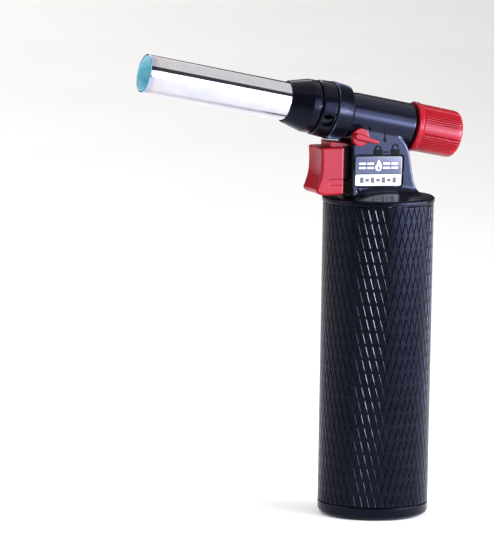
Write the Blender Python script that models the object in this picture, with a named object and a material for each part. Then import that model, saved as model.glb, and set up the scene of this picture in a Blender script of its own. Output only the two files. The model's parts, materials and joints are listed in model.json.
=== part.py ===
"""Butane hand torch: knurled fuel handle, clamshell head, tilted burner, trigger, gas knob, air ring and lock lever.

Sizes below are in millimetres and become metres when a mesh is made. +Z runs up the handle's axis and the
nozzle points toward -X, tilted up. The origin is the centre of the underside that the torch stands on.
"""

import math

import bmesh
import bpy
from mathutils import Matrix, Vector

MM = 0.001
GAP = 0.3

# Handle
GRIP_R = 21.0
GRIP_WALL = 1.4
BASE_TOP = 5.0
GRIP_TOP = 119.2
TANK_R = 19.3
TANK_LOW = 8.0
TANK_HIGH = 112.0
TANK_WALL = 1.2
FILL_X = 9.0
FILL_BODY_R = 3.5
VALVE_BODY_R = 5.3
VALVE_BODY_TOP = 121.3
RIM_R = 21.4

# Head: local +X is up across the barrel, +Y is the far side, +Z runs toward the nozzle
HEAD_TILT = math.radians(11.6)
HEAD_Z = 150.3
BARREL_R = 8.5
BARREL_BORE_R = 6.9
BARREL_FRONT = 14.6
BARREL_REAR = -11.6
TUBE_R = 7.3
TUBE_BORE_R = 6.6
TUBE_END = 97.0
AIR_HOLE_AT = 24.7
AIR_HOLE_R = 2.4
AIR_HOLE_TURN = math.radians(-112.0)
ELECTRODE_OUT = 4.2
ELECTRODE_TURN = math.radians(-60.0)

# Neck
NECK_HALF = 7.5
NECK_FRONT = -14.0
WALL = 1.7
SCREWS = ((-10.5, 125.2), (8.9, 126.2))
LEVER_X, LEVER_Z = -11.5, 145.0
CRANK_X, CRANK_Z = 3.2, 123.6
HOSE_Y = 4.0
LABEL_TURN = math.radians(1.0)

SIN, COS = math.sin(HEAD_TILT), math.cos(HEAD_TILT)
WORLD = Matrix.Identity(4)
HEAD = Matrix(((SIN, 0, -COS, 0), (0, 1, 0, 0), (COS, 0, SIN, HEAD_Z * MM), (0, 0, 0, 1)))

for old in list(bpy.data.objects):
    bpy.data.objects.remove(old, do_unlink=True)


def material(name, colour, metallic, roughness):
    """One Principled material."""
    made = bpy.data.materials.new(name)
    made.use_nodes = True
    shader = made.node_tree.nodes["Principled BSDF"]
    shader.inputs["Base Color"].default_value = (*colour, 1.0)
    shader.inputs["Metallic"].default_value = metallic
    shader.inputs["Roughness"].default_value = roughness
    return made


BLACK = (0.012, 0.012, 0.016)
GREY = (0.10, 0.10, 0.11)
RED = (0.60, 0.025, 0.035)
BRASS = (0.72, 0.50, 0.20)
STEEL = (0.55, 0.56, 0.58)
ALLOY = (0.75, 0.76, 0.78)
CREAM = (0.85, 0.82, 0.74)
RUBBER = (0.02, 0.02, 0.02)


def finish(name, bm, colour, metallic, roughness, frame=WORLD, smooth=True):
    """Turns a bmesh drawn in millimetres into a named object placed by its frame."""
    bmesh.ops.scale(bm, vec=(MM, MM, MM), verts=bm.verts)
    bmesh.ops.recalc_face_normals(bm, faces=bm.faces)
    mesh = bpy.data.meshes.new(name)
    bm.to_mesh(mesh)
    bm.free()
    made = bpy.data.objects.new(name, mesh)
    bpy.context.scene.collection.objects.link(made)
    made.matrix_world = frame
    if smooth:
        mesh.shade_smooth()
        mesh.set_sharp_from_angle(angle=math.radians(35.0))
    mesh.materials.append(material(name, colour, metallic, roughness))
    return made


def revolve(profile, segments, centre=(0.0, 0.0)):
    """A bmesh of revolution about local Z from (radius, height) points.

    A profile that starts and ends on the axis makes a solid with flat ends. Any other is a closed loop.
    """
    bm = bmesh.new()
    solid = profile[0][0] == 0.0
    rings = []
    for r, z in profile:
        if r == 0.0:
            continue
        ring = []
        for k in range(segments):
            turn = 2.0 * math.pi * k / segments
            ring.append(bm.verts.new((centre[0] + r * math.cos(turn), centre[1] + r * math.sin(turn), z)))
        rings.append(ring)
    pairs = list(zip(rings, rings[1:]))
    if not solid:
        pairs.append((rings[-1], rings[0]))
    for low, high in pairs:
        for i in range(segments):
            j = (i + 1) % segments
            bm.faces.new((low[i], low[j], high[j], high[i]))
    if solid:
        bm.faces.new(rings[0])
        bm.faces.new(rings[-1])
    return bm


def disc(radius, low, high, segments, centre=(0.0, 0.0), edge=0.0):
    """A solid cylinder about local Z, with its two rims chamfered by edge."""
    profile = [(0.0, low), (radius - edge, low), (radius, low + edge), (radius, high - edge), (radius - edge, high)]
    profile.append((0.0, high))
    if edge <= 0.0:
        profile = [(0.0, low), (radius, low), (radius, high), (0.0, high)]
    return revolve(profile, segments, centre)


def pipe(outer, inner, low, high, segments, centre=(0.0, 0.0)):
    """A plain tube about local Z."""
    return revolve([(inner, low), (outer, low), (outer, high), (inner, high)], segments, centre)


def layers(outlines, heights):
    """Joins equal-length outlines of (x, z), each at its own Y, into one closed solid."""
    bm = bmesh.new()
    rings = [[bm.verts.new((x, y, z)) for x, z in line] for line, y in zip(outlines, heights)]
    for near, far in zip(rings, rings[1:]):
        for i in range(len(near)):
            j = (i + 1) % len(near)
            bm.faces.new((near[i], near[j], far[j], far[i]))
    bm.faces.new(rings[0])
    bm.faces.new(rings[-1])
    return bm


def slab(outline, low, high):
    """An outline in X and Z made solid between two Y values."""
    return layers([outline, outline], [low, high])


def box(x0, x1, y0, y1, z0, z1):
    """A plain rectangular block."""
    return slab([(x0, z0), (x1, z0), (x1, z1), (x0, z1)], y0, y1)


def across(radius, low, high, segments, x, z):
    """A solid cylinder that runs along Y."""
    ring = []
    for k in range(segments):
        turn = 2.0 * math.pi * k / segments
        ring.append((x + radius * math.cos(turn), z + radius * math.sin(turn)))
    return slab(ring, low, high)


def rod(path, radius, segments):
    """A round rod swept along a path of points, with flat ends."""
    points = [Vector(p) for p in path]
    bm = bmesh.new()
    side = Vector((0.0, 1.0, 0.0))
    rings = []
    for k, here in enumerate(points):
        back = (here - points[k - 1]).normalized() if k else None
        ahead = (points[k + 1] - here).normalized() if k + 1 < len(points) else None
        tangent = ((back or ahead) + (ahead or back)).normalized()
        side = (side - tangent * side.dot(tangent)).normalized()
        other = tangent.cross(side)
        ring = []
        for i in range(segments):
            turn = 2.0 * math.pi * i / segments
            ring.append(bm.verts.new(here + (side * math.cos(turn) + other * math.sin(turn)) * radius))
        rings.append(ring)
    for low, high in zip(rings, rings[1:]):
        for i in range(segments):
            j = (i + 1) % segments
            bm.faces.new((low[i], low[j], high[j], high[i]))
    bm.faces.new(rings[0])
    bm.faces.new(rings[-1])
    return bm


def coil(radius, wire, low, high, turns, centre):
    """A compression spring about Z as a swept wire."""
    steps = turns * 8
    path = []
    for k in range(steps + 1):
        turn = 2.0 * math.pi * turns * k / steps
        height = low + wire + (high - low - 2.0 * wire) * k / steps
        path.append((centre[0] + radius * math.cos(turn), centre[1] + radius * math.sin(turn), height))
    return rod(path, wire, 5)


def cutter(name, bm, frame=WORLD):
    """A helper solid that is only used by Boolean modifiers."""
    made = finish(name, bm, GREY, 0.0, 0.5, frame, smooth=False)
    made.hide_render = True
    made.display_type = "WIRE"
    return made


def combine(target, operation, *others):
    """Adds one Boolean modifier for each helper."""
    for other in others:
        step = target.modifiers.new(f"{operation.lower()} {other.name}", "BOOLEAN")
        step.operation = operation
        step.solver = "EXACT"
        step.object = other
    return target


def head_point(up, across_y, along):
    """A point of the head's own frame, in world millimetres."""
    return (up * SIN - along * COS, across_y, HEAD_Z + up * COS + along * SIN)


def radial(distance, turn, along):
    """A point at a distance from the head's axis, in world millimetres."""
    return head_point(distance * math.cos(turn), distance * math.sin(turn), along)


# ---------------------------------------------------------------- handle and tank

# Knurled grip sleeve
finish("grip_sleeve", pipe(GRIP_R, GRIP_R - GRIP_WALL, BASE_TOP + GAP, GRIP_TOP, 48), BLACK, 0.8, 0.35)

# Base cap with its rounded foot edge, plug and filler recess
base_profile = [(0.0, 0.0), (18.6, 0.0), (20.2, 0.6), (20.8, 1.5), (GRIP_R, 2.6), (GRIP_R, BASE_TOP)]
base_profile += [(19.2, BASE_TOP), (19.2, 6.4), (0.0, 6.4)]
filler_hole = cutter("cut_filler_hole", disc(FILL_BODY_R + GAP, -1.0, 20.0, 24, (FILL_X, 0.0)))
base = finish("base_cap", revolve(base_profile, 48), BLACK, 0.0, 0.3)
combine(base, "DIFFERENCE", filler_hole)

# Inner fuel tank, open only at the filler and at the valve
tank_inner = TANK_R - TANK_WALL
tank_profile = [(0.0, TANK_LOW), (TANK_R, TANK_LOW), (TANK_R, TANK_HIGH), (VALVE_BODY_R + GAP, TANK_HIGH)]
tank_profile += [(VALVE_BODY_R + GAP, TANK_HIGH - TANK_WALL), (tank_inner, TANK_HIGH - TANK_WALL)]
tank_profile += [(tank_inner, TANK_LOW + TANK_WALL), (0.0, TANK_LOW + TANK_WALL)]
combine(finish("fuel_tank", revolve(tank_profile, 32), ALLOY, 0.9, 0.4), "DIFFERENCE", filler_hole)

# Seals between the tank and its two ends
finish("base_seal", pipe(18.7, 17.5, 6.7, 7.7, 32), RUBBER, 0.0, 0.7)
finish("top_seal", pipe(18.7, 17.5, TANK_HIGH + GAP, TANK_HIGH + GAP + 0.9, 32), RUBBER, 0.0, 0.7)

# Top closure plate that carries the main valve
finish("tank_top_plate", pipe(19.2, VALVE_BODY_R + GAP, 113.5, 118.4, 32), ALLOY, 0.9, 0.4)

# Filler valve
fill_profile = [(1.3, 2.0), (3.0, 2.0), (FILL_BODY_R, 2.5), (FILL_BODY_R, 13.0), (1.0, 13.0), (1.0, 12.0)]
fill_profile += [(2.4, 12.0), (2.4, 4.2), (1.3, 4.2)]
finish("fill_valve_body", revolve(fill_profile, 24, (FILL_X, 0.0)), BRASS, 1.0, 0.3)
fill_stem = [(0.0, 2.6), (0.9, 2.6), (0.9, 4.6), (2.1, 4.6), (2.1, 5.6), (0.9, 5.6), (0.9, 8.0), (0.0, 8.0)]
finish("fill_valve_stem", revolve(fill_stem, 16, (FILL_X, 0.0)), BRASS, 1.0, 0.25)
finish("fill_valve_spring", coil(1.65, 0.25, 5.9, 11.7, 4, (FILL_X, 0.0)), STEEL, 1.0, 0.3)

# Main valve, its stem and spring, and the pickup tube
valve_profile = [(1.7, 107.5), (4.0, 107.5), (VALVE_BODY_R, 109.0), (VALVE_BODY_R, VALVE_BODY_TOP)]
valve_profile += [(1.35, VALVE_BODY_TOP), (1.35, 118.6), (2.5, 118.6), (2.5, 110.2), (1.7, 110.2)]
valve = finish("main_valve_body", revolve(valve_profile, 24), BRASS, 1.0, 0.3)
valve_nipple = cutter("add_valve_nipple", disc(1.0, VALVE_BODY_TOP - 1.0, 124.6, 16, (0.0, HOSE_Y)))
combine(valve, "UNION", valve_nipple)
stem_profile = [(0.0, 110.9), (2.2, 110.9), (2.2, 112.0), (1.1, 112.0), (1.1, 125.3), (1.7, 125.3), (1.7, 126.2)]
finish("main_valve_stem", revolve(stem_profile + [(0.0, 126.2)], 20), BRASS, 1.0, 0.25)
finish("main_valve_spring", coil(1.8, 0.25, 112.3, 118.3, 4, (0.0, 0.0)), STEEL, 1.0, 0.3)
finish("pickup_tube", pipe(1.4, 0.9, 13.5, 109.6, 12), CREAM, 0.0, 0.5)

# Rim ring between the sleeve and the head
rim_profile = [(18.9, GRIP_TOP + GAP), (RIM_R, GRIP_TOP + GAP), (RIM_R, 121.1), (20.9, 121.6), (20.2, 121.6)]
finish("rim_ring", revolve(rim_profile + [(20.2, 120.3), (18.9, 120.3)], 48), BLACK, 0.9, 0.2)

# ---------------------------------------------------------------- clamshell head

# Outer form: neck, barrel and domed foot
neck = [(NECK_FRONT, 121.8), (14.6, 121.8), (13.2, 123.4), (12.2, 125.4), (11.3, 128.0), (10.5, 132.0)]
neck += [(9.8, 136.5), (8.9, 140.2), (7.4, 143.2), (5.0, 145.2), (4.0, 149.4), (NECK_FRONT, 153.2)]
neck_in = [(NECK_FRONT + 0.9, 121.8), (13.4, 121.8), (12.0, 123.6), (11.0, 125.6), (10.1, 128.1), (9.3, 131.9)]
neck_in += [(8.6, 136.2), (7.7, 139.7), (6.4, 142.4), (4.4, 144.4), (3.4, 149.5), (NECK_FRONT + 0.9, 153.0)]
neck_cap = NECK_HALF - 0.9


def neck_form():
    return layers([neck_in, neck, neck, neck_in], [-NECK_HALF, -neck_cap, neck_cap, NECK_HALF])


add_barrel = cutter("add_barrel", disc(BARREL_R, BARREL_REAR, BARREL_FRONT, 40, edge=0.4), HEAD)
dome_profile = [(0.0, 120.6), (19.9, 120.6), (19.9, 121.5), (18.0, 121.95), (14.0, 122.9), (9.0, 124.2), (0.0, 124.4)]
add_dome = cutter("add_dome", revolve(dome_profile, 48))

# Inner hollow of the neck, with the screw pillars left standing
hollow = [(NECK_FRONT + WALL, 119.0), (12.2, 119.0), (10.6, 124.4), (9.4, 128.0), (8.6, 132.0), (7.9, 136.2)]
hollow += [(7.0, 139.4), (5.6, 142.6), (4.2, 147.0), (NECK_FRONT + WALL, 150.6)]
cut_hollow = cutter("cut_hollow", slab(hollow, -5.8, 5.8))
for index, (x, z) in enumerate(SCREWS, 1):
    pillar = cutter(f"leave_pillar_{index}", across(2.0, -6.2, 6.2, 16, x, z))
    combine(cut_hollow, "DIFFERENCE", pillar)

cut_bore = cutter("cut_barrel_bore", disc(BARREL_BORE_R, -20.0, 20.0, 32), HEAD)
cut_slot = cutter("cut_trigger_slot", box(-20.0, -11.0, -5.1, 5.1, 128.2, 143.5))
cut_foot = cutter("cut_valve_room", disc(12.4, 119.0, 121.7, 32))
cut_pin = cutter("cut_crank_pin", across(0.9, -6.7, 6.7, 16, CRANK_X, CRANK_Z))
cut_pivot = cutter("cut_lever_pivot", across(1.55, -9.0, -5.0, 24, LEVER_X, LEVER_Z))
label_frame = Matrix.Translation((-3.3 * MM, -NECK_HALF * MM, 131.65 * MM)) @ Matrix.Rotation(LABEL_TURN, 4, "Y")
cut_label = cutter("cut_label", box(-9.9, 9.9, -1.0, 0.5, -6.0, 6.0), label_frame)
keep_near = cutter("keep_near_side", box(-40.0, 40.0, -40.0, -0.15, 100.0, 180.0))
keep_far = cutter("keep_far_side", box(-40.0, 40.0, 0.15, 40.0, 100.0, 180.0))
screw_cuts = []
for index, (x, z) in enumerate(SCREWS, 1):
    screw_cuts.append(cutter(f"cut_screw_{index}", across(1.3, -5.2, 9.0, 16, x, z)))
    screw_cuts.append(cutter(f"cut_screw_head_{index}", across(2.5, 5.6, 9.0, 20, x, z)))

near = finish("housing_near", neck_form(), BLACK, 0.0, 0.15)
combine(near, "UNION", add_barrel, add_dome)
combine(near, "DIFFERENCE", cut_hollow, cut_bore, cut_slot, cut_foot, cut_pin, cut_pivot, cut_label)
combine(near, "DIFFERENCE", *screw_cuts)
combine(near, "INTERSECT", keep_near)
far = finish("housing_far", neck_form(), BLACK, 0.0, 0.15)
combine(far, "UNION", add_barrel, add_dome)
combine(far, "DIFFERENCE", cut_hollow, cut_bore, cut_slot, cut_foot, cut_pin)
combine(far, "DIFFERENCE", *screw_cuts)
combine(far, "INTERSECT", keep_far)

for index, (x, z) in enumerate(SCREWS, 1):
    screw = finish(f"housing_screw_{index}", across(1.0, -4.6, 6.6, 16, x, z), STEEL, 1.0, 0.3)
    screw_head = cutter(f"add_screw_head_{index}", across(2.2, 5.9, 7.2, 20, x, z))
    combine(screw, "UNION", screw_head)

finish("label_plate", box(-9.6, 9.6, 0.02, 0.3, -5.7, 5.7), CREAM, 0.0, 0.3, label_frame, smooth=False)

# ---------------------------------------------------------------- trigger, ignition and valve linkage

# Trigger pad with its concave finger face, and the stem, tongue and push finger behind it
pad = [(-26.3, 141.0), (-26.05, 138.0), (-26.0, 134.5), (-26.2, 131.5), (-26.8, 129.0), (-27.6, 126.8), (-28.1, 125.4)]
pad += [(-27.7, 124.2), (-26.6, 123.3), (-25.2, 123.0), (-17.6, 123.0), (-17.0, 123.6), (-17.0, 141.0)]
trigger = finish("trigger", slab(pad, -7.0, 7.0), RED, 0.0, 0.25)
stem = [(-22.0, 138.0), (-18.0, 138.0), (-18.0, 128.6), (-7.0, 128.6), (-7.0, 142.0), (-14.0, 142.3), (-22.0, 143.1)]
nose = [(-7.6, 128.6), (0.5, 128.6), (1.35, 128.95), (1.7, 129.8), (1.35, 130.65), (0.5, 131.0), (-7.6, 131.0)]
add_stem = cutter("add_trigger_stem", slab(stem, -4.7, 4.7))
add_nose = cutter("add_trigger_nose", slab(nose, -1.6, 1.6))
combine(trigger, "UNION", add_stem, add_nose)

# Piezo igniter and its plunger
igniter = finish("piezo_igniter", box(-2.6, 5.8, -5.3, 1.9, 132.5, 141.5), CREAM, 0.0, 0.45, smooth=False)
combine(igniter, "DIFFERENCE", cutter("cut_plunger_room", box(-4.0, 3.2, -4.5, 1.1, 134.2, 139.8)))
finish("piezo_plunger", box(-6.7, -0.5, -4.2, 0.8, 134.5, 139.5), GREY, 0.0, 0.5, smooth=False)

# Bell crank that lifts the valve stem, on its pin
crank_frame = Matrix.Translation((CRANK_X * MM, 0.0, CRANK_Z * MM))
crank = [(-1.8, -1.0), (-1.0, -1.8), (1.0, -1.8), (1.8, -1.0), (1.8, 1.2), (1.2, 2.0), (1.2, 8.2), (-1.2, 8.2)]
crank += [(-1.2, 1.4), (-4.4, 1.4), (-4.4, 0.4), (-1.8, 0.4)]
rocker = finish("valve_crank", slab(crank, -2.1, 2.1), STEEL, 1.0, 0.35, crank_frame)
combine(rocker, "DIFFERENCE", cutter("cut_crank_fork", box(-6.0, -1.85, -1.35, 1.35, 0.0, 2.0), crank_frame))
combine(rocker, "DIFFERENCE", cut_pin)
finish("crank_pin", across(0.8, -6.4, 6.4, 16, 0.0, 0.0), STEEL, 1.0, 0.25, crank_frame)

# Gas hose from the tank valve up to the regulator
finish("gas_hose", pipe(1.6, 1.25, VALVE_BODY_TOP + GAP, 145.6, 16, (0.0, HOSE_Y)), CREAM, 0.0, 0.5)

# Lock lever: disc, pointer ridge, pivot and the off-centre catch that meets the trigger
lever_frame = Matrix.Translation((LEVER_X * MM, 0.0, LEVER_Z * MM))
pointer_turn = Matrix.Rotation(math.radians(17.0), 4, "Y")
lever = finish("lock_lever", across(3.4, -9.8, -7.8, 32, 0.0, 0.0), RED, 0.0, 0.25, lever_frame)
ridge = [(-2.6, -0.8), (-2.0, -1.1), (4.0, -1.1), (7.0, -0.7), (7.3, 0.0), (7.0, 0.7), (4.0, 1.1), (-2.0, 1.1)]
ridge += [(-2.6, 0.8)]
add_ridge = cutter("add_lever_ridge", slab(ridge, -11.4, -8.9), lever_frame @ pointer_turn)
add_pivot = cutter("add_lever_pivot", across(1.4, -8.5, -6.0, 24, 0.0, 0.0), lever_frame)
add_catch = cutter("add_lever_catch", across(0.6, -6.5, -4.95, 12, 0.7, -0.5), lever_frame)
combine(lever, "UNION", add_ridge, add_pivot, add_catch)

# ---------------------------------------------------------------- gas regulator and knob

# Regulator block in the barrel, with its inlet nipple
block_profile = [(1.35, -8.0), (3.6, -8.0), (3.6, -7.0), (4.5, -6.4), (4.5, 9.0), (3.8, 9.7), (2.4, 9.7), (2.4, 7.0)]
block_profile += [(0.6, 7.0), (0.6, 6.0), (1.35, 6.0)]
block = finish("regulator_block", revolve(block_profile, 28), BRASS, 1.0, 0.3, HEAD)
combine(block, "UNION", cutter("add_inlet_nipple", disc(1.0, 143.2, 148.6, 16, (0.0, HOSE_Y))))
finish("gas_jet", revolve([(0.4, 7.3), (2.1, 7.3), (2.1, 12.6), (1.3, 14.5), (0.4, 14.5)], 20), BRASS, 1.0, 0.25, HEAD)

# Needle, its seal and the gland nut
needle = [(0.0, -9.4), (1.0, -9.4), (1.0, 4.6), (0.3, 6.5), (0.0, 6.7)]
finish("needle", revolve(needle, 16), STEEL, 1.0, 0.2, HEAD)
finish("needle_seal", pipe(3.0, 1.3, -9.1, -8.3, 24), RUBBER, 0.0, 0.7, HEAD)
gland = [(1.9, -12.0), (4.6, -12.0), (4.6, -9.4), (1.9, -9.4)]
finish("gland_nut", revolve(gland, 6), BRASS, 1.0, 0.3, HEAD, smooth=False)

# Knob: flanged cup with a core that holds the spindle
knob_profile = [(7.4, -12.4), (9.3, -12.4), (9.45, -12.6), (9.45, -14.4), (9.2, -14.8), (9.0, -29.6), (8.5, -30.7)]
knob_profile += [(7.4, -31.2), (3.6, -31.2), (3.6, -30.2), (1.9, -30.2), (1.9, -17.0), (3.5, -17.0), (3.5, -28.2)]
knob_profile += [(7.2, -28.2)]
finish("gas_knob", revolve(knob_profile, 40), RED, 0.0, 0.25, HEAD)
finish("knob_plug", disc(3.3, -31.0, -30.45, 24), RED, 0.0, 0.3, HEAD)
finish("knob_spindle", disc(1.6, -29.8, -9.9, 20, edge=0.2), BRASS, 1.0, 0.3, HEAD)

# ---------------------------------------------------------------- burner

hole_points = [(AIR_HOLE_TURN, "a"), (AIR_HOLE_TURN + math.pi, "b")]
holes = []
for turn, tag in hole_points:
    outward = Matrix.Rotation(turn, 4, "Z") @ Matrix.Rotation(math.radians(90.0), 4, "Y")
    place = HEAD @ Matrix.Translation((0.0, 0.0, AIR_HOLE_AT * MM)) @ outward
    holes.append((turn, place, tag))

# Mixing body with two air windows
mixing_profile = [(5.6, 12.0), (6.6, 12.0), (6.6, 14.5), (7.25, 14.9), (7.25, 29.7), (5.6, 29.7)]
mixer = finish("mixing_body", revolve(mixing_profile, 36), BRASS, 1.0, 0.35, HEAD)
for turn, place, tag in holes:
    combine(mixer, "DIFFERENCE", cutter(f"cut_mixer_{tag}", disc(AIR_HOLE_R - 0.4, 3.0, 12.0, 20), place))

# Fixed air collar with two round holes
collar_profile = [(9.5, 22.1), (10.6, 22.1), (10.75, 22.3), (10.45, 27.3), (10.2, 27.9), (7.6, 27.9), (7.6, 27.0)]
collar_profile += [(9.5, 27.0)]
collar = finish("air_collar", revolve(collar_profile, 40), BLACK, 0.0, 0.2, HEAD)
for turn, place, tag in holes:
    combine(collar, "DIFFERENCE", cutter(f"cut_collar_{tag}", disc(AIR_HOLE_R, 3.0, 14.0, 24), place))

# Turning air ring, whose sleeve closes the holes from inside
ring_profile = [(7.6, 15.0), (9.9, 15.0), (10.35, 15.4), (11.0, 21.3), (10.7, 21.8), (9.15, 21.8), (9.15, 26.7)]
ring_profile += [(8.2, 26.7), (8.2, 21.8), (7.6, 21.8)]
ring = finish("air_ring", revolve(ring_profile, 40), BLACK, 0.0, 0.3, HEAD)
for turn, place, tag in holes:
    shifted = place @ Matrix.Rotation(math.radians(-14.0), 4, "X")
    combine(ring, "DIFFERENCE", cutter(f"cut_ring_{tag}", disc(AIR_HOLE_R - 0.2, 3.0, 14.0, 24), shifted))

# Flared cone and burner tube
cone_profile = [(7.5, 28.2), (9.8, 28.2), (10.1, 28.6), (10.1, 31.4), (9.9, 32.1), (9.0, 35.6), (8.4, 38.0)]
cone_profile += [(8.0, 39.6), (7.5, 39.6)]
finish("nozzle_cone", revolve(cone_profile, 40), BLACK, 0.0, 0.15, HEAD)
tube_profile = [(TUBE_BORE_R, 30.0), (TUBE_R, 30.0), (TUBE_R, TUBE_END - 0.3), (TUBE_R - 0.15, TUBE_END)]
tube_profile += [(TUBE_BORE_R + 0.15, TUBE_END), (TUBE_BORE_R, TUBE_END - 0.3)]
finish("burner_tube", revolve(tube_profile, 40), ALLOY, 1.0, 0.08, HEAD)

# Perforated flame holder inside the mouth
holder = finish("flame_holder", disc(6.3, 84.0, 87.0, 32, edge=0.3), BRASS, 1.0, 0.35, HEAD)
electrode_x = ELECTRODE_OUT * math.cos(ELECTRODE_TURN)
electrode_y = ELECTRODE_OUT * math.sin(ELECTRODE_TURN)
combine(holder, "DIFFERENCE", cutter("cut_holder_centre", disc(1.6, 80.0, 90.0, 16), HEAD))
for index in range(6):
    turn = ELECTRODE_TURN + math.radians(60.0) * index
    spot = (ELECTRODE_OUT * math.cos(turn), ELECTRODE_OUT * math.sin(turn))
    combine(holder, "DIFFERENCE", cutter(f"cut_holder_{index}", disc(0.95, 80.0, 90.0, 12, spot), HEAD))

# Spark electrode in its ceramic sleeve, and the lead from the igniter
electrode_at = (electrode_x, electrode_y)
finish("electrode_sleeve", pipe(1.1, 0.6, 15.0, 83.6, 14, electrode_at), CREAM, 0.0, 0.4, HEAD)
finish("electrode", disc(0.35, 14.0, 88.4, 10, electrode_at), STEEL, 1.0, 0.3, HEAD)
lead = [(3.0, -3.5, 141.8), (3.0, -4.6, 143.6), head_point(-2.6, -5.3, -1.0), head_point(2.9, -5.15, 2.0)]
lead += [radial(5.9, ELECTRODE_TURN, 8.6), radial(4.3, ELECTRODE_TURN, 11.6), radial(4.2, ELECTRODE_TURN, 13.7)]
finish("ignition_lead", rod(lead, 0.45, 10), RUBBER, 0.0, 0.5)
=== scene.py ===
"""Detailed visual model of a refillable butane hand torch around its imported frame.

Shapes are written in millimetres and scaled to metres when a mesh is made. The head's own
frame has +X up across the barrel, +Y to the far side and +Z toward the nozzle.
"""

import json
import math

import bmesh
import bpy
import numpy as np
from mathutils import Matrix, Vector


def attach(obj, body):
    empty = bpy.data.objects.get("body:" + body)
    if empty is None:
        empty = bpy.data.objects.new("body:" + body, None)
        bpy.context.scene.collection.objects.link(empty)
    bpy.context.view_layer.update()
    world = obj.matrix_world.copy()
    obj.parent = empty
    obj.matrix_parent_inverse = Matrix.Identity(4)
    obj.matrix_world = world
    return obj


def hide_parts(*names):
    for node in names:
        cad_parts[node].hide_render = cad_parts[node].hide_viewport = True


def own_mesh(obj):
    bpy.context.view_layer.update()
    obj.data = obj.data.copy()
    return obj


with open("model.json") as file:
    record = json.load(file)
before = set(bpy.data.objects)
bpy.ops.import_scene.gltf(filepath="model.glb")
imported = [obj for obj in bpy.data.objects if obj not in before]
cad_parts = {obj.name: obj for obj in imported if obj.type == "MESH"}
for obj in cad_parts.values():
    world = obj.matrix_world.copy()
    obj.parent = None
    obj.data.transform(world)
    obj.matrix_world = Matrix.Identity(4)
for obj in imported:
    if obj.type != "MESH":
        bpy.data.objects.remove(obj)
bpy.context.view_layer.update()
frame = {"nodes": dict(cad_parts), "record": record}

MM = 0.001
TAU = 2.0 * math.pi
TILT = math.radians(11.6)
SIN, COS = math.sin(TILT), math.cos(TILT)
# Height at which the barrel's axis crosses the handle's
HEAD_Z = 150.3
WORLD = Matrix.Identity(4)
HEAD = Matrix(((SIN, 0, -COS, 0), (0, 1, 0, 0), (COS, 0, SIN, HEAD_Z * MM), (0, 0, 0, 1)))
HANDLE = "handle_and_head"

GRIP_R = 21.0
KNURL_LOW, KNURL_HIGH = 5.3, 119.2
RIM_R = 21.4
NECK_HALF = 7.5
NECK_FRONT = -14.0
BARREL_R = 8.5
BARREL_BORE_R = 6.9
TUBE_R, TUBE_BORE_R = 7.3, 6.6
TUBE_START, TUBE_END = 30.0, 97.0
LEVER_X, LEVER_Z = -11.5, 145.0
POINTER_TURN = math.radians(17.0)
# Middle of the label on the near panel, and its small tilt
LABEL_X, LABEL_Z = -3.3, 131.65
LABEL_TURN = math.radians(1.0)
LABEL_AT = Matrix.Translation((LABEL_X * MM, -NECK_HALF * MM, LABEL_Z * MM))
LABEL_FRAME = LABEL_AT @ Matrix.Rotation(LABEL_TURN, 4, "Y")
# How far the filler valve is from the handle's axis
FILL_X = 9.0


# ---------------------------------------------------------------- node materials

# Sockets of a Mix node that is set to colours
MIX_FACTOR, MIX_A, MIX_B, MIX_RESULT = 0, 6, 7, 2
PATCH_SCALE = 120.0
GRAIN_HEIGHT = 0.00004


def graph(name):
    """A new node material, its tree and its Principled shader."""
    made = bpy.data.materials.new(name)
    made.use_nodes = True
    tree = made.node_tree
    return made, tree, tree.nodes["Principled BSDF"]


def noise(tree, place, scale, detail=3.0, stretch=None, distortion=0.0):
    """Noise over a set of coordinates, which may be stretched first."""
    if stretch:
        mapping = tree.nodes.new("ShaderNodeMapping")
        mapping.inputs["Scale"].default_value = stretch
        tree.links.new(place, mapping.inputs["Vector"])
        place = mapping.outputs["Vector"]
    node = tree.nodes.new("ShaderNodeTexNoise")
    node.inputs["Scale"].default_value = scale
    node.inputs["Detail"].default_value = detail
    node.inputs["Distortion"].default_value = distortion
    tree.links.new(place, node.inputs["Vector"])
    return node.outputs["Fac"]


def ramp(tree, value, stops):
    """A colour ramp with (position, colour) stops."""
    node = tree.nodes.new("ShaderNodeValToRGB")
    band = node.color_ramp
    while len(band.elements) < len(stops):
        band.elements.new(0.5)
    for element, (position, colour) in zip(band.elements, stops):
        element.position = position
        element.color = (*colour, 1.0)
    tree.links.new(value, node.inputs["Fac"])
    return node.outputs["Color"]


def blend(tree, factor, low, high, mode="MIX"):
    """Mixes two colours, each given as a socket or as a plain colour."""
    node = tree.nodes.new("ShaderNodeMix")
    node.data_type = "RGBA"
    node.blend_type = mode
    for socket, value in ((MIX_FACTOR, factor), (MIX_A, low), (MIX_B, high)):
        target = node.inputs[socket]
        if isinstance(value, bpy.types.NodeSocket):
            tree.links.new(value, target)
        elif isinstance(value, float):
            target.default_value = value
        else:
            target.default_value = (*value, 1.0)
    return node.outputs[MIX_RESULT]


def remap(tree, value, low, high, source=(0.3, 0.7)):
    """Maps a varying value onto a range."""
    node = tree.nodes.new("ShaderNodeMapRange")
    for socket, number in zip(("From Min", "From Max", "To Min", "To Max"), (*source, low, high)):
        node.inputs[socket].default_value = number
    tree.links.new(value, node.inputs["Value"])
    return node.outputs["Result"]


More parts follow.
